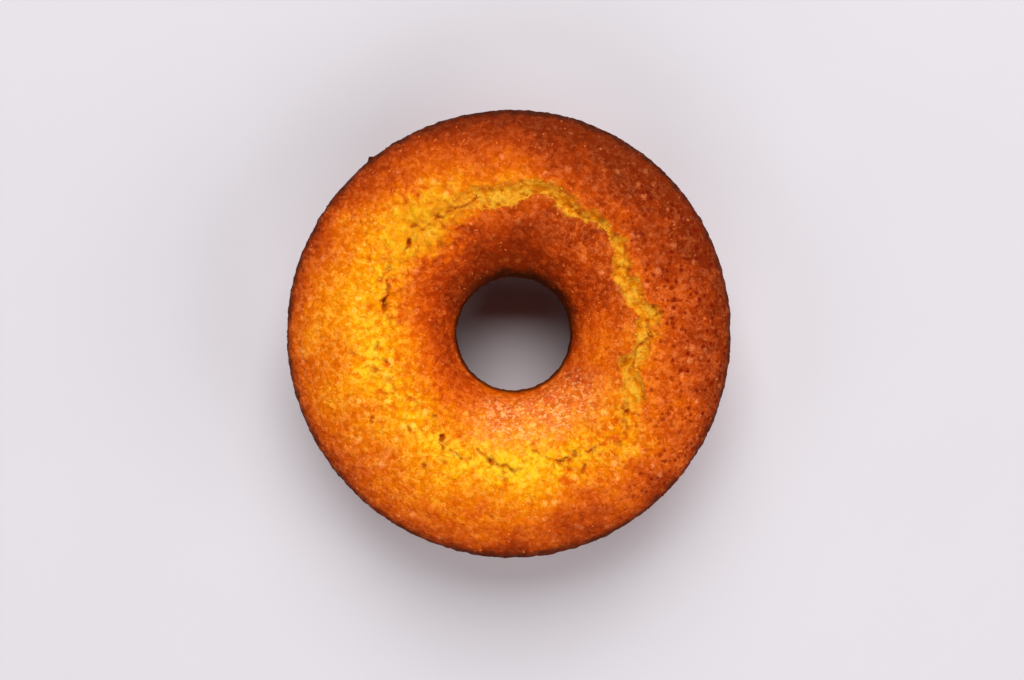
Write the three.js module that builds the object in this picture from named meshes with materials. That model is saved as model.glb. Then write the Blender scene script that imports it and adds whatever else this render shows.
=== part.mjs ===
// A cornmeal ring cake as it stands after turning out of its tin, crust side up.
// It is one solid: a flat base, sides that lean out towards the top, a centre hole that narrows
// upwards, and a domed top whose crust has split open all along its crown, where the crumb shows.
// Millimetres, +Z up, with the origin at the middle of the base.

import * as THREE from "three";
import { LoftGeometry } from "three/addons/geometries/LoftGeometry.js";

// Driving dimensions
const CAKE_DIAMETER = 200; // at the shoulder, the widest place
const BASE_DIAMETER = 187; // across the base, before its edge is rounded
const HOLE_DIAMETER = 51; // at the lip, the narrowest place
const HOLE_BASE_DIAMETER = 59; // at the base, where the tube of the tin is thickest
const SHOULDER_HEIGHT = 50; // where the outer wall turns into the domed top
const LIP_HEIGHT = 46; // where the wall of the hole turns into the domed top
const CROWN_HEIGHT = 68; // along the highest line of the dome
const CROWN_DIAMETER = 122; // of that highest line
const OUTER_EDGE_RADIUS = 6; // rounding of the base, outside
const HOLE_EDGE_RADIUS = 4; // rounding of the base, round the hole

// How far the cake departs from a turned shape
const HOLE_OFFSET = 1.8; // the hole lies this far off the middle, towards +X
const OUTLINE_SWELL = 0.8; // the rim bulges and draws in by this much
const OUTLINE_WAVES = [
  { lobes: 2, weight: 0.6, phase: 180 },
  { lobes: 3, weight: 0.4, phase: 200 },
];
const CROWN_SWELL = 1.2; // the dome rises and sinks by this much
const CROWN_WAVES = [
  { lobes: 2, weight: 0.6, phase: -52 },
  { lobes: 3, weight: 0.4, phase: 97 },
];
const LIP_CURL = 0.7; // the torn crust stands up this far beside the split
const LIP_CURL_WIDTH = 5; // and dies away over this distance
const LIP_RAGGEDNESS = 0.9; // sideways, along both torn edges
const INNER_BANK = 0.25; // share of the split's width in which its floor falls, from the inner edge
const OUTER_BANK = 0.5; // share in which the floor rises again to the outer edge
const CRAG_HEIGHT = 0.9; // of the lumps of crumb in the split
const CRAG_SEED = 11;

// The split in the crust, station by station round the crown, anticlockwise from +X:
// angle in degrees, radius of the inner and of the outer torn edge, and depth of the floor
const SPLIT = [
  { angle: 0, inner: 55.2, outer: 63.9, depth: 2.6 },
  { angle: 8, inner: 56.5, outer: 67.0, depth: 2.8 },
  { angle: 16, inner: 52.2, outer: 60.9, depth: 2.4 },
  { angle: 26, inner: 50.9, outer: 59.6, depth: 2.2 },
  { angle: 33, inner: 52.2, outer: 62.0, depth: 2.4 },
  { angle: 40, inner: 58.6, outer: 66.4, depth: 2.4 },
  { angle: 46, inner: 60.4, outer: 63.6, depth: 1.4 },
  { angle: 54, inner: 59.2, outer: 63.7, depth: 2.4 },
  { angle: 65, inner: 57.6, outer: 65.4, depth: 3.0 },
  { angle: 74, inner: 61.2, outer: 67.6, depth: 3.0 },
  { angle: 88, inner: 56.6, outer: 66.1, depth: 3.2 },
  { angle: 103, inner: 55.8, outer: 64.2, depth: 3.2 },
  { angle: 118, inner: 58.0, outer: 63.6, depth: 2.8 },
  { angle: 139, inner: 57.0, outer: 62.0, depth: 2.8 },
  { angle: 152, inner: 57.6, outer: 62.6, depth: 2.2 },
  { angle: 165, inner: 53.8, outer: 58.8, depth: 2.8 },
  { angle: 175, inner: 52.6, outer: 57.0, depth: 2.0 },
  { angle: 188, inner: 55.4, outer: 60.4, depth: 2.0 },
  { angle: 204, inner: 53.8, outer: 58.4, depth: 1.8 },
  { angle: 218, inner: 49.0, outer: 53.2, depth: 2.0 },
  { angle: 229, inner: 47.8, outer: 52.0, depth: 2.4 },
  { angle: 238, inner: 52.6, outer: 57.8, depth: 3.0 },
  { angle: 249, inner: 56.6, outer: 61.2, depth: 2.0 },
  { angle: 258, inner: 52.4, outer: 57.0, depth: 2.4 },
  { angle: 270, inner: 56.6, outer: 61.4, depth: 2.2 },
  { angle: 283, inner: 52.0, outer: 57.0, depth: 2.0 },
  { angle: 294, inner: 58.2, outer: 63.4, depth: 2.2 },
  { angle: 306, inner: 60.0, outer: 65.6, depth: 2.2 },
  { angle: 315, inner: 65.8, outer: 70.6, depth: 2.0 },
  { angle: 326, inner: 58.8, outer: 64.6, depth: 2.4 },
  { angle: 336, inner: 54.6, outer: 63.6, depth: 2.6 },
  { angle: 345, inner: 51.6, outer: 60.0, depth: 2.8 },
  { angle: 353, inner: 54.8, outer: 63.6, depth: 2.6 },
];

// How finely the solid is faceted
const SECTIONS = 120; // cross-sections round the ring
const EDGE_STEPS = 3;
const WALL_STEPS = 3;
const INNER_CRUST_STEPS = 9;
const SPLIT_STEPS = 7;
const OUTER_CRUST_STEPS = 10;
const BASE_STEPS = 2;

const CRUST_COLOUR = 0xd07a1c;
const CRUST_ROUGHNESS = 0.75;

const cakeRadius = CAKE_DIAMETER / 2;
const baseRadius = BASE_DIAMETER / 2;
const holeRadius = HOLE_DIAMETER / 2;
const holeBaseRadius = HOLE_BASE_DIAMETER / 2;
const crownRadius = CROWN_DIAMETER / 2;

const { lerp, smoothstep, degToRad, radToDeg } = THREE.MathUtils;

// A repeatable stream of numbers from -1 to 1.
function seededJitter(seed) {
  let state = seed;
  return () => {
    state = (Math.imul(state, 1664525) + 1013904223) >>> 0;
    return (state / 2 ** 31) - 1;
  };
}

// A sum of waves round the ring, from -1 to 1.
function waveSum(waves, angle) {
  return waves.reduce(
    (sum, { lobes, weight, phase }) => sum + weight * Math.cos(lobes * angle + degToRad(phase)),
    0,
  );
}

// The split at an angle in radians, eased from one station to the next.
function splitAt(angle) {
  const degrees = radToDeg(angle);
  const after = SPLIT.findIndex((station) => station.angle > degrees);
  const to = SPLIT[after < 0 ? 0 : after];
  const from = SPLIT[(after < 0 ? SPLIT.length : after) - 1];
  const span = (to.angle - from.angle + 360) % 360;
  const share = smoothstep((degrees - from.angle) / span, 0, 1);
  return {
    inner: lerp(from.inner, to.inner, share),
    outer: lerp(from.outer, to.outer, share),
    depth: lerp(from.depth, to.depth, share),
  };
}

// Height of the unbroken dome: a quarter ellipse each side of the crown.
function domeHeight(radius, angle) {
  const isInside = radius < crownRadius;
  const edgeRadius = isInside ? holeRadius : cakeRadius;
  const edgeHeight = isInside ? LIP_HEIGHT : SHOULDER_HEIGHT;
  const share = Math.min(1, (radius - crownRadius) / (edgeRadius - crownRadius));
  const arch = Math.sqrt(1 - share * share);
  const crownHeight = CROWN_HEIGHT + CROWN_SWELL * waveSum(CROWN_WAVES, angle);
  return edgeHeight + (crownHeight - edgeHeight) * arch;
}

// Radii across the dome from the hole's lip to the shoulder. They crowd towards both edges, where
// the dome is steep, and follow the torn edges of the split.
function domeRadii(split) {
  const radii = [];
  for (let i = 0; i < INNER_CRUST_STEPS; i++) {
    const turn = (i / INNER_CRUST_STEPS) * (Math.PI / 2);
    radii.push(lerp(split.inner, holeRadius, Math.cos(turn)));
  }
  for (let i = 0; i <= SPLIT_STEPS; i++) {
    radii.push(lerp(split.inner, split.outer, i / SPLIT_STEPS));
  }
  for (let i = 1; i <= OUTER_CRUST_STEPS; i++) {
    const turn = (i / OUTER_CRUST_STEPS) * (Math.PI / 2);
    radii.push(lerp(split.outer, cakeRadius, Math.sin(turn)));
  }
  return radii;
}

// How far the top stands above the unbroken dome, outside the split: its torn edges curl up.
function curl(radius, split) {
  const distance = Math.max(split.inner - radius, radius - split.outer);
  return LIP_CURL * (1 - smoothstep(distance, 0, LIP_CURL_WIDTH));
}

// How far the floor of the split lies below the dome: a trough that is steepest at its inner edge.
function trough(radius, split) {
  const share = (radius - split.inner) / (split.outer - split.inner);
  const fall = smoothstep(share, 0, INNER_BANK);
  const rise = smoothstep(share, 1 - OUTER_BANK, 1);
  return split.depth * fall * (1 - rise);
}

// One rounded edge of the base, from the base to the wall, bulging away from the ring's middle.
function baseEdge(wallRadius, edgeRadius, side) {
  const points = [];
  for (let i = 0; i <= EDGE_STEPS; i++) {
    const turn = (i / EDGE_STEPS) * (Math.PI / 2);
    const out = edgeRadius * (1 - Math.sin(turn));
    points.push(new THREE.Vector2(wallRadius - side * out, edgeRadius * (1 - Math.cos(turn))));
  }
  return points;
}

// Points up a straight wall, without its two ends.
function wall(bottom, top) {
  const points = [];
  for (let i = 1; i < WALL_STEPS; i++) {
    points.push(bottom.clone().lerp(top, i / WALL_STEPS));
  }
  return points;
}

// The domed top of one cross-section, with the split and its crags.
function top(angle, jitter) {
  const split = splitAt(angle);
  split.inner += LIP_RAGGEDNESS * jitter();
  split.outer += LIP_RAGGEDNESS * jitter();
  return domeRadii(split).map((radius) => {
    const isTorn = radius > split.inner && radius < split.outer;
    const crag = CRAG_HEIGHT * jitter();
    const relief = isTorn ? crag - trough(radius, split) : curl(radius, split);
    return new THREE.Vector2(radius, domeHeight(radius, angle) + relief);
  });
}

// One cross-section, as radius and height: up the hole, over the top, down the side, in under the base.
function profile(angle, jitter) {
  const holeEdge = baseEdge(holeBaseRadius, HOLE_EDGE_RADIUS, -1);
  const outerEdge = baseEdge(baseRadius, OUTER_EDGE_RADIUS, 1).reverse();
  const dome = top(angle, jitter);
  const holeWall = wall(holeEdge.at(-1), dome[0]);
  const outerWall = wall(dome.at(-1), outerEdge[0]);
  const base = [];
  for (let i = 1; i < BASE_STEPS; i++) {
    base.push(outerEdge.at(-1).clone().lerp(holeEdge[0], i / BASE_STEPS));
  }
  return [...holeEdge, ...holeWall, ...dome, ...outerWall, ...outerEdge, ...base];
}

// A point of the solid. The rim isn't a true circle: radii swell with the angle, most at the outside,
// and inside the crown the ring leans over with the hole, which is off the middle.
function ringPoint(radius, height, angle) {
  const reach = radius + OUTLINE_SWELL * waveSum(OUTLINE_WAVES, angle) * (radius / cakeRadius) ** 2;
  const shift = HOLE_OFFSET * smoothstep(crownRadius - radius, 0, crownRadius - holeBaseRadius);
  return new THREE.Vector3(shift + reach * Math.cos(angle), reach * Math.sin(angle), height);
}

function cakeGeometry() {
  const jitter = seededJitter(CRAG_SEED);
  const sections = [];
  for (let i = 0; i < SECTIONS; i++) {
    const angle = (i / SECTIONS) * 2 * Math.PI;
    sections.push(profile(angle, jitter).map(({ x, y }) => ringPoint(x, y, angle)));
  }
  sections.push(sections[0]);
  return new LoftGeometry(sections);
}

const crust = new THREE.MeshStandardMaterial({
  color: CRUST_COLOUR,
  roughness: CRUST_ROUGHNESS,
  metalness: 0,
});

const cake = new THREE.Mesh(cakeGeometry(), crust);
cake.name = "cake";

const part = new THREE.Group();
part.add(cake);

export default part;
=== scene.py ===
"""A cornmeal ring cake: domed, browned, and split open along its crown where the crumb shows."""

import math

import bpy
import numpy as np
from bpy.props import FloatProperty, FloatVectorProperty, IntProperty, PointerProperty
from bpy.types import NodeSocket, Operator, Panel, PropertyGroup
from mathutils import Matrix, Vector


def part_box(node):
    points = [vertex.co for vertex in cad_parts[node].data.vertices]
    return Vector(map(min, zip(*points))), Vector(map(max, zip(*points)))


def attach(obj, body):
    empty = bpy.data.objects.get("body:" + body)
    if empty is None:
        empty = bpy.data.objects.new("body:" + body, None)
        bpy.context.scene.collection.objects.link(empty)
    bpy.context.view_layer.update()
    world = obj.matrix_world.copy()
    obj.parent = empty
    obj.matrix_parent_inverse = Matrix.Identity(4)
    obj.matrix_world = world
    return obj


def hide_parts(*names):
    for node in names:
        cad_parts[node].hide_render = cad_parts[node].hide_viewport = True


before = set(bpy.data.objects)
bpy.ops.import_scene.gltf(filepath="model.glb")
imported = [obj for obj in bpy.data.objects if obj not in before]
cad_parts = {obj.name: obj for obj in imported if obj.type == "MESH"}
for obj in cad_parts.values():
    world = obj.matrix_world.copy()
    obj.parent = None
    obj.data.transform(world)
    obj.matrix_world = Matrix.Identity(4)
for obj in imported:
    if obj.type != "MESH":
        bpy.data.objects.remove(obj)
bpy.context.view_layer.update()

bl_info = {
    "name": "Ring cake",
    "version": (1, 0, 0),
    "blender": (4, 5, 0),
    "location": "3D View > Sidebar > Ring cake",
    "description": "Bakes a cornmeal ring cake with a split, browned crust round its frame",
    "category": "Add Mesh",
}

NODE = "cake"
BODY = "root"
CAKE = "ring_cake"
MM = 0.001

CAKE_LOW, CAKE_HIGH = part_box(NODE)
CAKE_WIDTH = (CAKE_HIGH.x - CAKE_LOW.x + CAKE_HIGH.y - CAKE_LOW.y) / 2

# The split, station by station round the crown, anticlockwise from +X: degrees, then the radius of
# its inner and outer torn edge and its depth in millimetres, and how widely it has torn, from 0 to 1
SPLIT = np.array((
    (0, 55.2, 63.9, 2.6, 1.00),
    (8, 56.5, 67.0, 2.8, 1.00),
    (16, 52.2, 60.9, 2.4, 1.00),
    (26, 50.9, 59.6, 2.2, 1.00),
    (33, 52.2, 62.0, 2.4, 1.00),
    (40, 58.6, 66.4, 2.4, 1.00),
    (46, 60.4, 63.6, 1.4, 0.80),
    (54, 59.2, 63.7, 2.4, 1.00),
    (65, 57.6, 65.4, 2.6, 1.00),
    (74, 61.2, 67.6, 2.5, 1.00),
    (88, 56.6, 66.1, 2.5, 1.00),
    (103, 55.8, 64.2, 2.1, 0.85),
    (118, 57.4, 64.6, 2.0, 0.75),
    (130, 58.8, 65.6, 1.7, 0.60),
    (139, 57.0, 62.0, 1.4, 0.40),
    (152, 57.6, 62.6, 2.2, 0.40),
    (165, 53.8, 58.8, 2.8, 0.50),
    (175, 52.6, 57.0, 2.0, 0.35),
    (188, 55.4, 60.4, 2.0, 0.35),
    (204, 53.8, 58.4, 1.8, 0.30),
    (218, 49.0, 53.2, 2.0, 0.30),
    (229, 47.8, 52.0, 2.4, 0.40),
    (238, 52.6, 57.8, 3.0, 0.50),
    (249, 56.6, 61.2, 2.0, 0.35),
    (258, 52.4, 57.0, 2.4, 0.40),
    (270, 56.6, 61.4, 2.2, 0.40),
    (283, 52.0, 57.0, 2.0, 0.35),
    (294, 58.2, 63.4, 2.2, 0.40),
    (306, 60.0, 65.6, 2.2, 0.45),
    (315, 65.8, 70.6, 2.0, 0.40),
    (326, 58.8, 64.6, 2.4, 0.70),
    (336, 53.0, 65.4, 2.6, 1.00),
    (346, 49.4, 58.4, 2.8, 1.00),
    (353, 54.8, 63.6, 2.6, 1.00),
))

# Crevices and pits in the crumb: width and depth in millimetres, how much painted shade darkens each,
# from 0 to 1, and the places that it runs through, as degrees and a radius in millimetres
CREVICES = (
    (1.2, 1.2, 0.6, ((5, 60.7), (359.5, 61.3), (352.7, 56.2), (346.4, 54.7))),
    (1.0, 0.9, 0.5, ((50, 62.2), (59, 60.9), (66.5, 61.6), (80, 63.5))),
    (0.9, 0.9, 0.8, ((104, 61.4), (107, 60.7), (112, 58.7))),
    (1.9, 1.8, 0.3, ((111, 58.7), (116, 58.9), (120.5, 59.1), (126.3, 58.3))),
    (2.2, 1.8, 0.26, ((126.3, 58.3), (130.6, 60.6), (132.4, 63.6))),
    (1.5, 2.2, 1.0, ((136.8, 59.4), (140.9, 58.7))),
    (1.6, 0.6, 0.3, ((148, 60.5), (157, 60.5))),
    (1.3, 1.7, 0.9, ((159, 56.6), (165, 56.4), (170, 54.8))),
    (1.4, 0.9, 0.5, ((185.4, 58.0), (186.6, 57.6))),
    (0.8, 0.5, 0.45, ((193, 63.5), (200, 57.0), (205, 56.2))),
    (0.5, 0.4, 0.35, ((205, 56.2), (207.3, 54.7), (213.3, 51.8), (218.9, 49.6), (227, 49.4))),
    (1.4, 1.2, 1.0, ((227, 49.4), (229, 49.0))),
    (0.5, 0.5, 0.4, ((229, 49.0), (233, 51.5), (236, 53.2))),
    (1.7, 2.2, 1.0, ((236, 53.2), (237.6, 54.4))),
    (1.5, 1.6, 0.7, ((238.8, 56.6), (239.6, 57.6))),
    (1.3, 0.9, 0.7, ((246, 58.6), (249, 59.2))),
    (1.3, 1.3, 0.7, ((255, 53.6), (259, 55.4), (266, 57.9))),
    (1.1, 0.9, 0.55, ((266, 57.9), (272, 59.5), (275, 59.4))),
    (1.5, 1.0, 0.65, ((281.4, 52.2), (282.8, 52.6))),
    (2.4, 1.2, 0.75, ((291.4, 60.4), (293, 60.0))),
    (1.7, 1.1, 0.7, ((297, 60.4), (298.2, 59.8))),
    (1.5, 1.1, 0.8, ((298, 67.6), (300.4, 66.0))),
    (1.1, 0.8, 0.6, ((304, 63.0), (307.4, 62.2))),
    (1.4, 0.7, 0.7, ((312.2, 80.8), (312.9, 81.2))),
    (1.2, 0.6, 0.7, ((187.1, 68.6), (187.6, 68.9))),
    (0.8, 0.6, 0.45, ((314, 69.6), (318, 67.8), (322, 64.4))),
    (1.2, 1.6, 0.9, ((325.6, 62.0), (326.6, 61.6))),
    (1.2, 1.0, 0.5, ((343, 55.2), (348, 54.4))),
    (1.8, 0.8, 0.8, ((211.4, 70.0), (212.4, 70.0))),
    (1.8, 0.9, 0.85, ((223.4, 61.0), (224.4, 61.2))),
    (1.7, 0.9, 0.85, ((236.6, 68.0), (237.6, 68.2))),
    (1.2, 0.7, 0.6, ((263.6, 80.0), (264.4, 80.0))),
)

# How the crevices wander: how long the swings are and how wide, in millimetres
CREVICE_WANDER = ((1.6, 0.7), (0.7, 0.35))

# Places where the crust is thinner or thicker: x, y and z of the middle and the reach, in millimetres,
# and how much paler it is, or browner where that is less than nothing
PATCHES = (
    (-40, 46, 64, 32, 0.2), (4, -58, 64, 26, 0.18), (52, -52, 64, 20, 0.1),
    (39, -39, 65, 12, -0.15), (-49, 0, 62, 20, 0.22), (-42, -36, 64, 15, 0.08),
    (-90, 0, 56, 24, 0.2), (0, 76, 62, 22, 0.14), (82, 30, 57, 38, 0.08),
    (49, 0, 62, 12, 0.13), (34, 0, 58, 13, 0.09), (38, 38, 63, 14, 0.05),
    (-44, 60, 66, 15, -0.09), (3, 42, 60, 20, -0.12), (-20, -26, 58, 15, -0.17),
    (-50, -48, 62, 22, -0.13), (-34, 34, 58, 13, -0.1), (-66, 0, 64, 15, -0.06),
    (0, -92, 54, 18, -0.16), (58, -64, 62, 20, -0.1), (54, 54, 60, 16, 0.05),
    (79, 39, 62, 20, -0.11), (-81, 22, 64, 20, 0.14), (-84, -26, 62, 20, 0.14),
    (32, -79, 63, 20, -0.15), (33, -19, 62, 12, -0.13), (-15, 38, 63, 13, -0.12),
    (-22, 52, 66, 9, 0.15), (-58, -34, 67, 12, -0.14), (32, -55, 67, 10, 0.14),
    (-37, 4, 62, 11, -0.1), (15, 54, 67, 8, -0.14), (-13, -49, 66, 10, 0.1),
    (-70, 53, 62, 16, 0.13), (37, -10, 62, 13, 0.08), (24, -88, 61, 12, -0.15),
    (-30, -18, 60, 10, -0.08), (-19, 70, 66, 10, 0.12),
)

# Where the torn dough stayed smooth: the middle in metres, and how far out it is smooth and rough again
DOUGHY_PLACE = (-0.036, 0.048, 0.066)
DOUGHY_CORE, DOUGHY_REACH = 8 * MM, 27 * MM

# Where the crust is smoothest: the middle in metres, and how far out it is smooth and rough again
CALM_PLACE = (0.002, 0.04, 0.058)
CALM_CORE, CALM_REACH = 8 * MM, 26 * MM

# A nub that stands out from the rim: its middle in metres, its reach and its height
NUB_PLACE = (-0.0618, 0.0774, 0.0515)
NUB_REACH, NUB_HEIGHT = 2.2 * MM, 1.6 * MM

# How the outline and the crown depart from a circle and a level: lobes, weight and phase in degrees
OUTLINE_WAVES = ((2, 0.6, 180), (3, 0.4, 200))
CROWN_WAVES = ((2, 0.6, -52), (3, 0.4, 97))

# How many swings a bent pattern makes over one of its sizes
BEND_PITCH = 0.7

# How many places each curve of the skin's profile has, and how far up the dome, from 0 to 1, its relief
# is full
CURVE_PLACES = 200
TOP_SHARE = 0.25

# How far the split strays between its stations, and how small and deep the teeth on its edges are, as shares
# of the lip's size and raggedness, and how far its edges close up where it hasn't torn
STRAY_SIZE, STRAY_REACH = 2.4, 1.2
TEETH_SIZE, TEETH_REACH = 0.36, 0.4
CLOSED_BY = 3.4 * MM

# The smaller clods, as a share of the large ones, and how far the edges of crevices wander
SMALL_CLOD = 0.45
CREVICE_RAGGED = 0.9 * MM

# Which way the oven was hottest above the hole, and which way the slope down to it is glossy, with
# painted glints, in degrees
HOT_DIRECTION = 68
GLOSSY_DIRECTION = 289

# How much the crust and bits of it reflect, and how browning goes with the colours of the crust
CRUST_SHEEN = 0.018
BROWNING_STEPS = {
    "pale": 0.0, "yellow": 0.18, "golden": 0.36, "orange": 0.52, "brown": 0.67, "deep": 0.83, "dark": 1.0,
}

# Bits strewn over the cake: how flat each kind is and how far sunk, from 0 to 1, and its step of the seed
BITS = {"meal": (0.68, 0.4, 0), "crumb": (0.15, 0.35, 0), "nub": (0.2, 0.5, 1)}

# How bits vary: the smallest as a share of the largest, how little and how much they are drawn out, with
# the seed of that, how far they turn, in radians, and the width and depth of their dents in half widths
SMALLEST_BIT = 0.4
DRAWN_OUT = (0.75, 1.35, 3)
MOST_TURNED = (0.6, 0.6, 6.28)
DENT_SIZE, DENT_DEPTH = 1.2, 0.55

# How far the nubs reach in from the rim, and down from the shoulder
NUB_BELT, NUB_DROP = 4 * MM, 2 * MM

# Soft square lights: azimuth and elevation in degrees, width in metres and watts
LIGHTS = {
    "key": (90, 52, 3.4, 228),
    "left": (190, 32, 3.2, 38),
    "front": (265, 30, 3.2, 84),
    "right": (340, 32, 3.2, 92),
}
LIGHT_DISTANCE = 4.4
WORLD_LIGHT = 0.07
FLOOR_REACH, FLOOR_DROP = 6.0, 0.2 * MM
CAMERA_PLACE = (1.1 * MM, -2.9 * MM, 0.75)
CAMERA_LENS, CAMERA_SENSOR = 55, 36


def srgb(red, green, blue):
    """A colour of 0 to 255 as the linear values that shaders take."""
    shares = [channel / 255 for channel in (red, green, blue)]
    return [s / 12.92 if s <= 0.04045 else ((s + 0.055) / 1.055) ** 2.4 for s in shares]


def length(name, description, millimetres):
    """A size property, given in millimetres and kept in metres."""
    return FloatProperty(
        name=name,
        description=description,
        default=millimetres * MM,
        unit="LENGTH",
        subtype="DISTANCE",
        precision=5,
    )


def per_square_metre(name, description, count):
    """A property for how closely bits are strewn."""
    return FloatProperty(name=name, description=description, default=count)


def colour(name, description, *channels):
    """A colour property, given as red, green and blue from 0 to 255."""
    return FloatVectorProperty(
        name=name, description=description, default=srgb(*channels), size=3, min=0, max=1, subtype="COLOR"
    )


class RingCakeShape(PropertyGroup):
    """Main sizes of the cake, the same as its frame's"""

    diameter: length("Diameter", "Across the shoulder, the widest place", CAKE_WIDTH / MM)
    base_diameter: length("Base diameter", "Across the base, before its edge is rounded", 187)
    hole_diameter: length("Hole diameter", "Of the hole at its lip, the narrowest place", 51)
    hole_base_diameter: length("Hole base diameter", "Of the hole at the base", 59)
    hole_offset: length("Hole offset", "How far the hole lies off the middle, towards +X", 1.8)
    shoulder_height: length("Shoulder height", "Where the outer wall turns into the dome", 50)
    lip_height: length("Lip height", "Where the wall of the hole turns into the dome", 46)
    crown_height: length("Crown height", "Of the highest line of the dome", 67.6)
    crown_diameter: length("Crown diameter", "Of the highest line of the dome", 122)
    outer_edge_radius: length("Outer edge radius", "Rounding of the base, outside", 6)
    hole_edge_radius: length("Hole edge radius", "Rounding of the base, round the hole", 4)
    outline_swell: length("Outline swell", "How far the rim bulges and draws in", 0.8)
    crown_swell: length("Crown swell", "How far the dome rises and sinks", 1.2)
    skin_depth: length("Skin depth", "How far the smooth skin lies inside the frame's", 0.4)


class RingCakeMesh(PropertyGroup):
    """How finely the cake's skin is divided"""

    split_spacing: length("Split spacing", "Between points along the crown", 0.58)
    split_zone: length("Split zone", "Width of the finely divided belt on each side of the crown", 15)
    crust_spacing: length("Crust spacing", "Between points on the rest of the dome", 0.815)
    wall_spacing: length("Wall spacing", "Between points on the walls", 2.0)
    base_spacing: length("Base spacing", "Between points on the base", 5.0)


class RingCakeRelief(PropertyGroup):
    """Heights and sizes of what is rough on the cake"""

    lip_raggedness: length("Lip raggedness", "How far the torn edges stray sideways", 2.2)
    lip_size: length("Lip size", "Of the tongues along the torn edges", 4.5)
    lip_curl: length("Lip curl", "How far the crust stands up beside the split", 0.8)
    clod_height: length("Clod height", "Of the clods of crumb in the split", 2.2)
    clod_size: length("Clod size", "Of the clods of crumb in the split", 3.4)
    lump_height: length("Lump height", "Of the lumps under the crust", 0.45)
    lump_size: length("Lump size", "Of the lumps under the crust", 3.6)
    grain_height: length("Grain height", "Of the crust's grain", 0.2)
    grain_size: length("Grain size", "Of the crust's grain", 1.4)
    swell_height: length("Swell height", "Of the broad unevenness of the dome", 0.4)
    swell_size: length("Swell size", "Of the broad unevenness of the dome", 24)
    fold_depth: length("Fold depth", "Of the wrinkles in the thin crust", 1.9)
    fold_size: length("Fold size", "Of the wrinkles in the thin crust", 9)
    pore_depth: length("Pore depth", "Of the burst bubbles in the crust", 0.7)
    pore_spacing: length("Pore spacing", "Between the burst bubbles", 3.6)


class RingCakeScatter(PropertyGroup):
    """What lies loose or half sunk on the cake"""

    meal_size: length("Meal size", "Half width of the largest grain of meal in the crust", 1.0)
    meal_density: per_square_metre("Meal density", "Grains in a square metre", 16000)
    crumb_size: length("Crumb size", "Half width of the largest crumb in the split", 0.68)
    crumb_density: per_square_metre("Crumb density", "Crumbs in a square metre", 170000)
    nub_size: length("Nub size", "Half width of the largest nub on the rim", 0.75)
    nub_density: per_square_metre("Nub density", "Nubs in a square metre", 26000)
    seed: IntProperty(name="Seed", description="Changes where everything lies", default=7)


class RingCakeColours(PropertyGroup):
    """Colours of the crust, from the palest to the darkest, and of the crumb"""

    pale: colour("Pale crust", "Thinnest crust, along the crown", 241, 187, 24)
    yellow: colour("Yellow crust", "Thin crust beside the crown", 234, 152, 4)
    golden: colour("Golden crust", "Lightly browned crust", 226, 125, 2)
    orange: colour("Orange crust", "Browned crust", 213, 99, 2)
    brown: colour("Brown crust", "Well browned crust", 192, 76, 5)
    deep: colour("Deep brown crust", "Crust low on the slopes", 160, 54, 5)
    dark: colour("Dark crust", "Crust by the rim and the hole", 120, 37, 4)
    burnt: colour("Burnt crust", "The edge of the rim", 56, 22, 8)
    crumb: colour("Crumb", "The torn crumb", 222, 164, 44)
    # Painted shade: the crumb as if shaded, between its clods; also the darker end of the loose crumbs' tone
    crumb_shade: colour("Crumb shade", "The crumb between its clods", 212, 125, 8)
    # Painted shade: the colour painted inside the crevices
    pit: colour("Pit", "The inside of crevices", 168, 56, 5)
    # Pale grains of meal, lifted partly as painted glints on the granules
    pale_meal: colour("Pale meal", "Grains of meal in thin crust", 255, 208, 86)
    meal: colour("Meal", "Grains of meal in browned crust", 248, 146, 84)
    # Colour of smooth, unbrowned dough, darkened too as painted shade at the upper left
    dough: colour("Dough", "Smooth dough that tore without browning", 220, 148, 18)
    # Scorched granules, and painted shade in pinholes and pores, in thin and in browned crust
    pale_scorch: colour("Pale scorch", "Hollows in thin crust", 214, 86, 0)
    scorch: colour("Scorch", "Hollows in browned crust", 116, 10, 2)
    # Painted highlight: glints painted as pale grains on the glossy slope by the hole
    glaze: colour("Glaze", "Pale grains on the glossy slope by the hole", 255, 192, 114)
    ruddy: colour("Ruddy", "Reddens the slope down to the hole", 255, 240, 196)
    flush: colour("Flush", "Redder patches under the pale grains", 232, 96, 34)
    floor: colour("Floor", "What the cake stands on", 204, 200, 205)


def own_names(group):
    """Names of the properties that a group declares itself."""
    names = [item.identifier for item in group.bl_rna.properties]
    return [name for name in names if name not in ("rna_type", "name")]


def opaque(tint):
    """A colour with its alpha, or the socket that gives one."""
    return tint if isinstance(tint, NodeSocket) else (*tint, 1.0)


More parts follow.
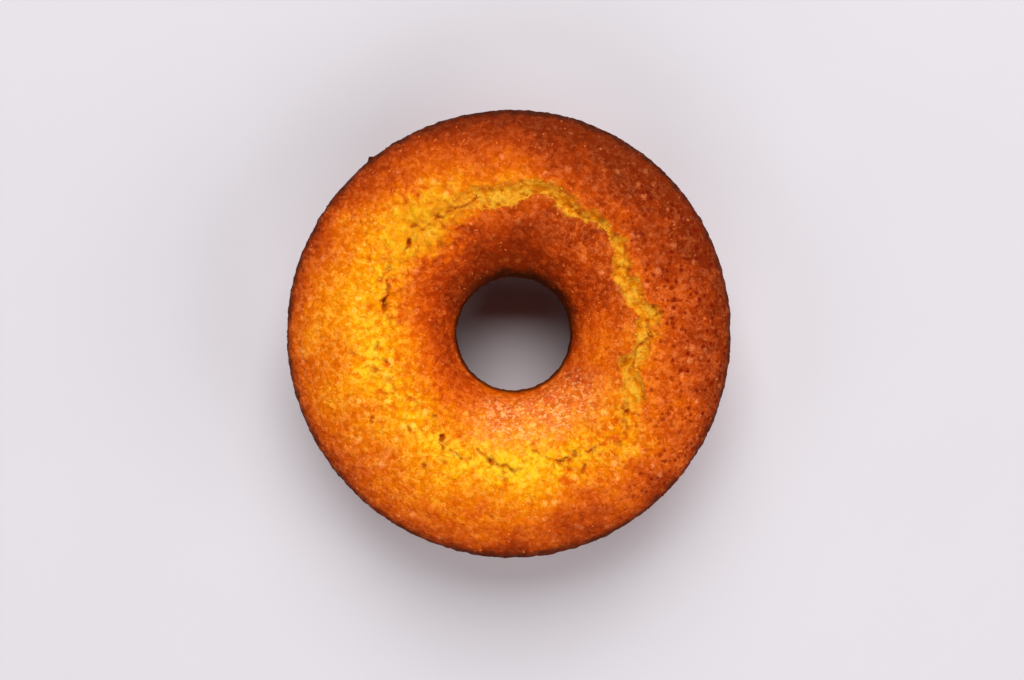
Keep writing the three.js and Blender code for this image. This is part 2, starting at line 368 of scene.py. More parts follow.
class Wiring:
    """Adds nodes to a tree. An input gets a value, or a link where a socket is given."""

    def __init__(self, tree):
        self.tree = tree

    def feed(self, node, inputs):
        for name, value in inputs.items():
            if isinstance(value, NodeSocket):
                self.tree.links.new(value, node.inputs[name])
            else:
                node.inputs[name].default_value = value

    def add(self, kind, inputs=None, **settings):
        node = self.tree.nodes.new(kind)
        for name, value in settings.items():
            setattr(node, name, value)
        self.feed(node, inputs or {})
        return node

    def end(self, results):
        """The finished group, with these for its outputs."""
        self.add("NodeGroupOutput", results)
        return self.tree

    def math(self, operation, *values):
        return self.add("ShaderNodeMath", dict(enumerate(values)), operation=operation).outputs[0]

    def chain(self, operation, first, *others):
        for other in others:
            first = self.math(operation, first, other)
        return first

    def total(self, *values):
        return self.chain("ADD", *values)

    def product(self, *values):
        return self.chain("MULTIPLY", *values)

    def most(self, *values):
        return self.chain("MAXIMUM", *values)

    def minus(self, first, second):
        return self.math("SUBTRACT", first, second)

    def hypot(self, x, y):
        return self.math("SQRT", self.total(self.product(x, x), self.product(y, y)))

    def facing(self, angle, direction):
        """From 1 in a direction to -1 opposite to it, both in radians."""
        return self.math("COSINE", self.minus(angle, direction))

    def vector(self, operation, first, second, output="Vector"):
        node = self.add("ShaderNodeVectorMath", {0: first, 1: second}, operation=operation)
        return node.outputs[output]

    def distance(self, place, middle):
        return self.vector("DISTANCE", place, middle, "Value")

    def scale(self, vector, factor):
        inputs = {"Vector": vector, "Scale": factor}
        return self.add("ShaderNodeVectorMath", inputs, operation="SCALE").outputs["Vector"]

    def parts(self, vector):
        return self.add("ShaderNodeSeparateXYZ", {0: vector}).outputs

    def ease(self, value, low, high, at_low=0.0, at_high=1.0, curve="SMOOTHSTEP"):
        """Goes smoothly from one value to another while the first argument goes from low to high."""
        ends = {"Value": value, "From Min": low, "From Max": high, "To Min": at_low, "To Max": at_high}
        return self.add("ShaderNodeMapRange", ends, interpolation_type=curve).outputs["Result"]

    def span(self, value, low, high, at_low, at_high):
        """Goes evenly from one value to another while the first argument goes from low to high."""
        return self.ease(value, low, high, at_low, at_high, "LINEAR")

    def blend(self, factor, first, second):
        """Goes evenly from the first value to the second while the factor goes from 0 to 1."""
        return self.span(factor, 0.0, 1.0, first, second)

    def bend(self, place, size, share):
        """The place, shifted at random by up to this share of the size."""
        inputs = {"Vector": place, "Scale": self.math("DIVIDE", BEND_PITCH, size)}
        draw = self.add("ShaderNodeTexNoise", inputs).outputs["Color"]
        return self.vector("ADD", place, self.scale(draw, self.product(size, share)))

    def noise(self, place, size, detail):
        """Noise about zero, in lumps of about that size."""
        inputs = {"Vector": place, "Scale": self.math("DIVIDE", 1.0, size), "Detail": detail}
        return self.add("ShaderNodeTexNoise", inputs, normalize=False).outputs[0]

    def cells(self, place, size, smoothness=0.0):
        """Distance to the nearest cell's centre, as a share of the size, and the cell's own draws."""
        inputs = {"Vector": place, "Scale": self.math("DIVIDE", 1.0, size)}
        node = self.add("ShaderNodeTexVoronoi", inputs, feature="SMOOTH_F1" if smoothness else "F1")
        if smoothness:
            node.inputs["Smoothness"].default_value = smoothness
        return node.outputs["Distance"], self.parts(node.outputs["Color"])

    def measure(self, name):
        """A measure on the mesh's points, in a geometry tree."""
        node = self.add("GeometryNodeInputNamedAttribute", {"Name": name}, data_type="FLOAT")
        return node.outputs["Attribute"]

    def kept(self, name):
        """A measure on the mesh's points, in a material."""
        return self.add("ShaderNodeAttribute", attribute_name=name).outputs["Fac"]

    def bump(self, height, distance, strength=1.0):
        inputs = {"Height": height, "Distance": distance, "Strength": strength}
        return self.add("ShaderNodeBump", inputs).outputs["Normal"]

    def ramp(self, value, *stops):
        """A colour for the value, between the stops given as position and colour."""
        node = self.add("ShaderNodeValToRGB", {"Fac": value})
        elements = node.color_ramp.elements
        for position, _ in stops[2:]:
            elements.new(position)
        for element, (position, tint) in zip(elements, stops):
            element.position = position
            element.color = opaque(tint)
        return node.outputs["Color"]

    def mix(self, factor, first, second, blend="MIX"):
        """Goes from the first colour to the second as the factor goes from 0 to 1."""
        inputs = {"Factor": factor, 6: opaque(first), 7: opaque(second)}
        return self.add("ShaderNodeMix", inputs, data_type="RGBA", blend_type=blend).outputs[2]


def new_group(name, inputs, outputs, kind="ShaderNodeTree"):
    """A node group with these sockets, its wiring and its input sockets by name."""
    tree = bpy.data.node_groups.new(name, kind)
    for in_out, sockets in (("INPUT", inputs), ("OUTPUT", outputs)):
        for label, socket in sockets.items():
            tree.interface.new_socket(label, in_out=in_out, socket_type="NodeSocket" + socket)
    wiring = Wiring(tree)
    return wiring, wiring.add("NodeGroupInput").outputs


def run_tree(tree, piece, values):
    """The plain mesh that a geometry tree makes from a piece, with no slot but its own material's."""
    modifier = piece.modifiers.new(tree.name, "NODES")
    modifier.node_group = tree
    for socket in tree.interface.items_tree:
        if socket.in_out == "INPUT" and socket.name in values:
            modifier[socket.identifier] = values[socket.name]
    depsgraph = bpy.context.evaluated_depsgraph_get()
    mesh = bpy.data.meshes.new_from_object(
        piece.evaluated_get(depsgraph), preserve_all_data_layers=True, depsgraph=depsgraph
    )
    piece.modifiers.remove(modifier)
    mesh.materials.clear()
    mesh.materials.append(values["material"])
    return mesh


def new_piece(name, mesh):
    piece = bpy.data.objects.new(name, mesh)
    bpy.context.scene.collection.objects.link(piece)
    return piece


# The skin of the cake

def wave_sum(waves, angle):
    return sum(weight * np.cos(lobes * angle + math.radians(phase)) for lobes, weight, phase in waves)


def smooth_share(value):
    value = np.clip(value, 0, 1)
    return value * value * (3 - 2 * value)


def split_at(angle):
    """Inner edge, outer edge, depth and tear of the split at each angle, eased between stations."""
    degrees = np.degrees(angle) % 360
    after = np.searchsorted(SPLIT[:, 0], degrees, side="right") % len(SPLIT)
    before = after - 1
    span = (SPLIT[after, 0] - SPLIT[before, 0]) % 360
    way = smooth_share((degrees - SPLIT[before, 0]) % 360 / span)
    return (SPLIT[before, 1:] + (SPLIT[after, 1:] - SPLIT[before, 1:]) * way[:, None]).T


def crevice_field(x, y):
    """Distance from the nearest crevice's edge, in metres, and that crevice's depth and painted shade."""
    place = x + 1j * y
    for reach, wander in CREVICE_WANDER:
        place = place + wander * MM * (np.sin(y / (reach * MM)) + 1j * np.sin(x / (reach * MM)))
    nearest = np.full(len(x), 1.0)
    depth = np.zeros(len(x))
    shade_weight = np.zeros(len(x))
    for width, crevice_depth, crevice_stain, route in CREVICES:
        angles, radii = np.array(route).T
        corners = radii * MM * np.exp(1j * np.radians(angles))
        for start, end in zip(corners[:-1], corners[1:]):
            along = end - start
            from_start = place - start
            way = np.clip((from_start * along.conjugate()).real / abs(along) ** 2, 0, 1)
            distance = np.abs(from_start - way * along) - width * MM / 2
            closer = distance < nearest
            nearest = np.where(closer, distance, nearest)
            depth = np.where(closer, crevice_depth * MM, depth)
            shade_weight = np.where(closer, crevice_stain, shade_weight)
    return nearest, depth, shade_weight


def paleness_at(points):
    """How much paler the patches make the crust at each point."""
    paleness = np.zeros(len(points))
    for *middle, reach, paler in PATCHES:
        distance = np.linalg.norm(points / MM - middle, axis=1)
        paleness += paler * smooth_share(1 - distance / reach)
    return paleness


def skin_profile(shape, fineness):
    """Rings of the skin, up the hole, over the dome, down the side and in under the base.

    Each has a radius, the height of the dome's edge on its side, how far up the dome it lies, from
    0 to 1, and the spacing of its points."""
    quarter = np.linspace(0, math.pi / 2, CURVE_PLACES)
    hole = shape.hole_diameter / 2
    hole_base = shape.hole_base_diameter / 2
    crown = shape.crown_diameter / 2
    rim = shape.diameter / 2 - shape.skin_depth
    base = shape.base_diameter / 2 - shape.skin_depth

    def stretch(radius, height, arch, spacing):
        columns = np.broadcast_arrays(*np.atleast_1d(radius, height, arch, spacing))
        return np.stack(columns, axis=1).astype(float)

    def dome(edge, height, turn):
        radius = crown + (edge - crown) * np.cos(turn)
        near_crown = smooth_share(2 - np.abs(radius - crown) / fineness.split_zone)
        spacing = fineness.crust_spacing + (fineness.split_spacing - fineness.crust_spacing) * near_crown
        return stretch(radius, height, np.sin(turn), spacing)

    def base_edge(wall, edge, turn):
        radius = wall + edge * (1 - np.sin(turn))
        return stretch(radius, abs(edge) * (1 - np.cos(turn)), 0, fineness.wall_spacing)

    base_middle = hole_base + shape.hole_edge_radius + fineness.base_spacing
    return np.concatenate((
        base_edge(hole_base, shape.hole_edge_radius, quarter),
        dome(hole, shape.lip_height, quarter),
        dome(rim, shape.shoulder_height, quarter[::-1]),
        base_edge(base, -shape.outer_edge_radius, quarter[::-1]),
        stretch(base_middle, 0, 0, fineness.base_spacing),
    ))


def ring_rows(path, crown_height):
    """Rings chosen along the path so that neighbours lie one spacing apart."""
    radius, edge, arch, spacing = path.T
    height = edge + (crown_height - edge) * arch
    steps = np.hypot(np.diff(radius), np.diff(height))
    count = np.concatenate(([0], np.cumsum(steps / ((spacing[:-1] + spacing[1:]) / 2))))
    places = np.linspace(0, count[-1], int(round(count[-1])) + 1)
    return np.stack([np.interp(places, count, column) for column in path.T], axis=1)


def stitch(first, second):
    """Triangles between neighbouring rings, each given as first point, number of points and half turns."""
    start_a, count_a, turn_a = first
    start_b, count_b, turn_b = second
    a = np.arange(count_a)
    b = np.arange(count_b)
    end_a = (2 * (a + 1) + turn_a) * count_b
    end_b = (2 * (b + 1) + turn_b) * count_a
    facing_b = -((turn_b * count_a - end_a) // (2 * count_a)) - 1
    facing_a = (end_b - turn_a * count_b) // (2 * count_b)
    faces_a = (start_a + (a + 1) % count_a, start_a + a, start_b + facing_b % count_b)
    faces_b = (start_b + b, start_b + (b + 1) % count_b, start_a + facing_a % count_a)
    return np.concatenate((np.stack(faces_a, 1), np.stack(faces_b, 1)))


def keep_on_points(mesh, name, values):
    mesh.attributes.new(name, "FLOAT", "POINT").data.foreach_set("value", values)


def skin_mesh(shape, fineness):
    """The smooth skin of the cake, closed, with the split's measures kept on its points."""
    rows = ring_rows(skin_profile(shape, fineness), shape.crown_height)
    counts = np.round(2 * math.pi * rows[:, 0] / rows[:, 3]).astype(int)
    turns = np.arange(len(rows)) % 2
    starts = np.concatenate(([0], np.cumsum(counts)[:-1]))
    rings = list(zip(starts, counts, turns))
    ring_pairs = zip(rings, rings[1:] + rings[:1])
    faces = np.concatenate([stitch(first, second) for first, second in ring_pairs])

    radius, edge, arch, _ = np.repeat(rows, counts, axis=0).T
    angle = np.concatenate([(2 * np.arange(n) + turn) * math.pi / n for _, n, turn in rings])
    crown = shape.crown_diameter / 2
    swell = shape.outline_swell * wave_sum(OUTLINE_WAVES, angle) * (2 * radius / shape.diameter) ** 2
    lean = smooth_share((crown - radius) / (crown - shape.hole_base_diameter / 2))
    x = shape.hole_offset * lean + (radius + swell) * np.cos(angle)
    y = (radius + swell) * np.sin(angle)
    z = edge + (shape.crown_height + shape.crown_swell * wave_sum(CROWN_WAVES, angle) - edge) * arch
    points = np.stack((x, y, z), axis=1)

    mesh = bpy.data.meshes.new(CAKE)
    mesh.from_pydata(points, [], faces, shade_flat=False)

    inner, outer, depth, tear = split_at(angle)
    crevice_distance, crevice_depth, crevice_stain = crevice_field(x, y)
    measures = {
        "top": smooth_share(arch / TOP_SHARE),
        "split_offset": radius - (inner + outer) / 2 * MM,
        "split_half": (outer - inner) / 2 * MM,
        "split_depth": depth * MM,
        "split_tear": tear,
        "crevice_distance": crevice_distance,
        "crevice_depth": crevice_depth,
        "crevice_stain": crevice_stain,
        "paler": paleness_at(points),
    }
    for name, values in measures.items():
        keep_on_points(mesh, name, values)
    return mesh


def push_out(w, geometry, height):
    """Moves the points of a geometry out along their normals."""
    normal = w.add("GeometryNodeInputNormal").outputs[0]
    inputs = {"Geometry": geometry, "Offset": w.scale(normal, height)}
    return w.add("GeometryNodeSetPosition", inputs).outputs[0]


def paint(w, geometry, material):
    """The finished geometry tree, which ends with its material."""
    painted = w.add("GeometryNodeSetMaterial", {"Geometry": geometry, "Material": material})
    return w.end({"mesh": painted.outputs[0]})


def relief_tree(relief):
    """Tears the split open, and roughens crust and crumb."""
    inputs = {"mesh": "Geometry", **dict.fromkeys(own_names(relief), "Float"), "material": "Material"}
    w, given = new_group("cake_relief", inputs, {"mesh": "Geometry"}, "GeometryNodeTree")
    place = w.add("GeometryNodeInputPosition").outputs[0]
    lip_size = given["lip_size"]
    clod_size = given["clod_size"]
    fold_size = given["fold_size"]

    # The split strays from its stations by more than its edges are ragged, in longer swings
    top = w.measure("top")
    half = w.measure("split_half")
    tear = w.measure("split_tear")
    swing = w.noise(place, w.product(lip_size, STRAY_SIZE), 1.0)
    stray = w.product(swing, given["lip_raggedness"], STRAY_REACH)
    offset = w.total(w.measure("split_offset"), stray)
    off_middle = w.math("ABSOLUTE", offset)
    across = w.math("DIVIDE", offset, half)
    outer_side = w.ease(across, -0.2, 0.6)
    doughy = w.ease(w.distance(place, DOUGHY_PLACE), DOUGHY_REACH, DOUGHY_CORE)

    # Distance from the torn edge, less than nothing inside the split
    teeth = w.product(w.noise(place, w.product(lip_size, TEETH_SIZE), 2.0), TEETH_REACH)
    tongues = w.product(w.total(w.noise(place, lip_size, 4.0), teeth), given["lip_raggedness"])
    closed = w.ease(tear, 0.0, 1.0, CLOSED_BY, 0.0)
    lip = w.total(w.minus(off_middle, half), tongues, closed)
    inner_edge = w.ease(lip, 0.6 * MM, -0.5 * MM)
    outer_edge = w.ease(lip, 1.2 * MM, -2.6 * MM)
    torn = w.product(inner_edge, top)

    # The floor of the split falls from its inner edge and rises slowly to its outer edge
    fall = w.ease(lip, 0.2 * MM, w.blend(doughy, -1.5 * MM, -3.2 * MM))
    bank = w.ease(across, -0.1, 1.1, 1.0, 0.35)
    opened = w.ease(tear, 0.3, 0.9, 0.35, 1.0)
    split_floor = w.product(w.measure("split_depth"), fall, bank, opened)

    # Rounded clods of crumb with creases between them, large and small, in the split and, lower,
    # where the crust is thin
    def creases(size):
        distance, _ = w.cells(w.bend(place, size, 0.9), size, smoothness=0.35)
        return w.product(distance, distance)

    small_creases = w.product(creases(w.product(clod_size, SMALL_CLOD)), w.blend(torn, 0.1, 0.35))
    crease = w.total(creases(clod_size), small_creases)
    thin = w.product(w.ease(off_middle, 19 * MM, 3 * MM), w.ease(tear, 0.95, 0.4, 0.16, 0.6))
    crumbly = w.product(w.most(torn, thin), top, w.blend(doughy, 1.0, 0.3))
    sunk_creases = w.product(crease, crumbly, given["clod_height"])

    # Wrinkles that wind through the thin crust
    winding = w.math("ABSOLUTE", w.noise(w.bend(place, fold_size, 0.5), fold_size, 1.0))
    folds = w.product(w.ease(winding, w.blend(doughy, 0.26, 0.42), 0.0), thin, given["fold_depth"])

    # The crust beside the split curls up
    curl = w.product(w.ease(lip, 4.5 * MM, 0.0), given["lip_curl"], tear, w.minus(1.0, torn))

    # Pores, each of its own size, and more of them on one side
    x, _, above_base = w.parts(place)
    pocked = w.ease(x, 48 * MM, 80 * MM)
    pore_distance, draws = w.cells(place, given["pore_spacing"])
    pore_radius = w.ease(draws["X"], w.blend(pocked, 0.4, 0.0), 1.0, 0.02, w.blend(pocked, 0.18, 0.4))
    pore = w.ease(pore_distance, pore_radius, w.product(pore_radius, 0.35))
    pore_floor = w.product(pore, given["pore_depth"], w.blend(pocked, 0.35, 1.0))

    # Crevices with wandering edges, and the painted shade in them
    wander = w.product(w.noise(place, clod_size, 3.0), CREVICE_RAGGED)
    from_crevice = w.total(w.measure("crevice_distance"), wander)
    crevice_floor = w.product(w.ease(from_crevice, 0.45 * MM, -0.7 * MM), w.measure("crevice_depth"))
    crevice_shading = w.product(w.ease(from_crevice, 0.8 * MM, -0.35 * MM), w.measure("crevice_stain"))

    # Grain and lumps all over, more where the crust is thin or doughy, and the nub
    lump = w.noise(place, given["lump_size"], 1.5)
    lumpy = w.total(thin, w.product(doughy, 1.8), 1.0)
    grain = w.total(
        w.product(w.noise(place, given["grain_size"], 2.0), given["grain_height"]),
        w.product(lump, given["lump_height"], lumpy),
        w.ease(w.distance(place, NUB_PLACE), NUB_REACH, 0.0, 0.0, NUB_HEIGHT),
    )
    swell = w.product(w.noise(place, given["swell_size"], 1.0), given["swell_height"])
    sunk = w.total(split_floor, sunk_creases, folds, crevice_floor, pore_floor)
    dome_height = w.minus(w.total(swell, curl), sunk)
    height = w.total(w.product(dome_height, top), grain)
    height = w.product(height, w.ease(above_base, 1 * MM, 6 * MM))

    # The torn crumb ends sharply at its inner edge and fades out at its outer edge
    edge = w.blend(outer_side, inner_edge, outer_edge)
    bared = w.product(w.ease(tear, 0.35, 0.9, 0.3, 1.0), w.blend(doughy, 1.0, 0.35))
    inside = w.product(w.ease(offset, 0.3 * MM, -1.6 * MM), w.ease(tear, 0.3, 1.0, 0.05, 0.08))
    kept = {
        "torn": torn,
        "bare": w.product(edge, top, bared),
        "pore": w.product(pore, top),
        "crack": w.product(crevice_shading, top),
        "clod": w.product(w.minus(0.3, crease), crumbly),
        "trough": w.product(fall, bank),
        "halo": w.product(w.ease(lip, 4.5 * MM, -0.5 * MM), outer_side, top),
        "inside": w.product(inside, top),
        "doughy": doughy,
        "lump": w.product(lump, doughy),
    }
    mesh = given["mesh"]
    for name, value in kept.items():
        store = {"Geometry": mesh, "Name": name, "Value": value}
        mesh = w.add("GeometryNodeStoreNamedAttribute", store, data_type="FLOAT").outputs["Geometry"]
    realized = w.add("GeometryNodeRealizeInstances", {"Geometry": push_out(w, mesh, height)})
    return paint(w, realized.outputs[0], given["material"])


def scatter_tree():
    """Strews bits over a mesh where its attribute says, half sunk, each turned and sized by chance."""
    floats = dict.fromkeys(("density", "half_width", "flatness", "sunk"), "Float")
    inputs = {"mesh": "Geometry", "where": "String", **floats, "seed": "Int", "material": "Material"}
    w, given = new_group("strewn_bits", inputs, {"mesh": "Geometry"}, "GeometryNodeTree")
    half_width = given["half_width"]

    def chance(low, high, seed):
        inputs = {2: low, 3: high, "Seed": seed}
        return w.add("FunctionNodeRandomValue", inputs, data_type="FLOAT").outputs[1]

    density = w.product(w.measure(given["where"]), given["density"])
    strewn = w.add(
        "GeometryNodeDistributePointsOnFaces",
        {"Mesh": given["mesh"], "Density": density, "Seed": given["seed"]},
        distribute_method="RANDOM",
    ).outputs
    share = w.ease(chance(0.0, 1.0, given["seed"]), 0.0, 1.0, SMALLEST_BIT, 1.0)
    size = w.product(share, half_width)
    sink = w.scale(strewn["Normal"], w.product(size, given["sunk"], -1.0))
    points = w.add("GeometryNodeSetPosition", {"Geometry": strewn["Points"], "Offset": sink})

    ball = w.add("GeometryNodeMeshIcoSphere", {"Radius": 1.0, "Subdivisions": 2})
    turn = w.add("FunctionNodeRandomValue", {0: (0, 0, 0), 1: MOST_TURNED}, data_type="FLOAT_VECTOR")
    spun = w.add(
        "FunctionNodeRotateRotation",
        {"Rotation": strewn["Rotation"], "Rotate By": turn.outputs[0]},
        rotation_space="LOCAL",
    )
    form = {"X": chance(*DRAWN_OUT), "Y": 1.0, "Z": w.minus(1.0, given["flatness"])}
    stretched = w.add("ShaderNodeCombineXYZ", form).outputs[0]
    placed = w.add(
        "GeometryNodeInstanceOnPoints",
        {
            "Points": points.outputs[0],
            "Instance": ball.outputs["Mesh"],
            "Rotation": spun.outputs[0],
            "Scale": w.scale(stretched, size),
        },
    )
    realized = w.add("GeometryNodeRealizeInstances", {"Geometry": placed.outputs[0]}).outputs[0]
    place = w.add("GeometryNodeInputPosition").outputs[0]
    dent = w.product(w.noise(place, w.product(half_width, DENT_SIZE), 2.0), half_width, DENT_DEPTH)
    smooth = w.add("GeometryNodeSetShadeSmooth", {"Geometry": push_out(w, realized, dent)})
    return paint(w, smooth.outputs[0], given["material"])


# Finishes

def browning_group(name):
    """How brown the crust is, least along the crown and lopsided, and how charred by rim and hole."""
    inputs = {"Place": "Vector", "Paler": "Float"}
    w, given = new_group(name, inputs, {"Browning": "Float", "Char": "Float"})
    shape = bpy.context.scene.ring_cake_shape
    crown = shape.crown_diameter / 2
    rim = shape.diameter / 2
    lip = shape.hole_diameter / 2
    place = given["Place"]
    x, y, z = w.parts(place)
    radius = w.hypot(x, y)
    angle = w.math("ARCTAN2", y, x)

    slopes = w.total(
        w.span(radius, crown - 4.5 * MM, 28 * MM, 0.33, 0.83),
        w.span(radius, crown - 1.0 * MM, 98 * MM, 0.02, 0.54),
        w.ease(radius, rim - 10 * MM, rim, 0.0, 0.12),
    )
    hot_side = w.total(
        w.span(radius, 42 * MM, 68 * MM, math.radians(84), math.radians(34)),
        w.span(radius, 72 * MM, 92 * MM, 0.0, math.radians(18)),
    )
    lopsided = w.product(w.facing(angle, hot_side), w.span(radius, crown, 98 * MM, 0.27, 0.2))
    twofold = w.math("SINE", w.product(angle, 2.0))
    crosswise = w.product(twofold, w.ease(radius, 46 * MM, 58 * MM, 0.0, 0.07))
    mottled = w.total(
        w.product(w.noise(place, 18 * MM, 2.0), 0.12),
        w.product(w.noise(place, 5.5 * MM, 3.0), 0.1),
    )
    dome = w.minus(w.total(slopes, lopsided, crosswise, mottled), given["Paler"])
    ragged = w.product(w.noise(place, 5 * MM, 3.0), 1.6 * MM)
    wall = w.ease(w.total(z, ragged), shape.shoulder_height, shape.shoulder_height - 11 * MM)
    side = w.total(mottled, w.ease(radius, crown, lip, 0.86, 1.05))

    # Charred along the rim, on the hot side of the slope down to the hole, and right at its lip
    hole_radius = w.hypot(w.minus(x, shape.hole_offset), y)
    on_slope = w.ease(w.total(hole_radius, ragged), lip + 5.6 * MM, lip + 1.0 * MM)
    towards_hot = w.facing(angle, math.radians(HOT_DIRECTION))
    char = w.most(
        w.ease(w.total(radius, ragged), rim - 4.6 * MM, rim - 0.4 * MM, 0.0, 0.85),
        w.product(on_slope, w.ease(towards_hot, -0.1, 0.95)),
        w.ease(hole_radius, lip + 2 * MM, lip + 0.2 * MM, 0.0, 0.95),
    )
    return w.end({"Browning": w.blend(wall, dome, side), "Char": w.product(char, w.minus(1.0, wall))})


def grain_group(name):
    """The grain of the bake: granules of their own tone, pale specks of meal, pinholes, and the height."""
    inputs = {"Place": "Vector", "Size": "Float"}
    outputs = dict.fromkeys(("Tone", "Specks", "Pinholes", "Height"), "Float")
    w, given = new_group(name, inputs, outputs)
    size = given["Size"]
    place = w.bend(given["Place"], size, 0.8)
    fine = w.noise(given["Place"], w.product(size, 0.5), 2.0)
    from_middle, draws = w.cells(place, size, smoothness=0.4)
    tone = w.total(draws["X"], -0.5, w.product(fine, 0.5))

    # Dots in cells of their own, each of its own width
    def dots(spacing, few, widest, core):
        distance, dot_draws = w.cells(place, w.product(size, spacing))
        width = w.ease(dot_draws["Y"], few, 1.0, 0.001, widest)
        ragged = w.product(fine, 0.35 / spacing)
        return w.ease(w.total(distance, ragged), width, w.product(width, core))

    # Some granules are pale, partly as painted glints
    bright = w.product(w.ease(draws["Y"], 0.7, 0.86), w.ease(from_middle, 0.5, 0.2), 0.3)
    small_specks = w.product(dots(spacing=2.3, few=0.45, widest=0.46, core=0.1), 0.6)
    specks = w.most(bright, small_specks, dots(spacing=3.2, few=0.4, widest=0.4, core=0.25))
    pinholes = dots(spacing=1.5, few=0.2, widest=0.52, core=0.45)

    mound = w.minus(0.5, from_middle)
    height = w.total(mound, w.product(fine, 0.5), w.product(specks, 0.25), w.product(pinholes, -0.6))
    return w.end({"Tone": tone, "Specks": specks, "Pinholes": pinholes, "Height": height})


def tint_group(name):
    """The colour of crust for how brown and how charred it is."""
    inputs = {"Browning": "Float", "Char": "Float"}
    w, given = new_group(name, inputs, {"Color": "Color"})
    colours = bpy.context.scene.ring_cake_colours
    stops = [(browning, getattr(colours, step)) for step, browning in BROWNING_STEPS.items()]
    tint = w.ramp(given["Browning"], *stops)
    return w.end({"Color": w.mix(given["Char"], tint, colours.burnt)})


def new_material(name):
    """A material, its wiring, its Principled shader and the place that its patterns follow."""
    material = bpy.data.materials.new(name)
    material.use_nodes = True
    w = Wiring(material.node_tree)
    shader = material.node_tree.nodes["Principled BSDF"]
    place = w.add("ShaderNodeTexCoord").outputs["Object"]
    return material, w, shader, place


def placed_group(w, make, **inputs):
    """Outputs of a shared group, put into this wiring and made where there is none yet."""
    tree = bpy.data.node_groups.get(make.__name__) or make(make.__name__)
    return w.add("ShaderNodeGroup", inputs, node_tree=tree).outputs


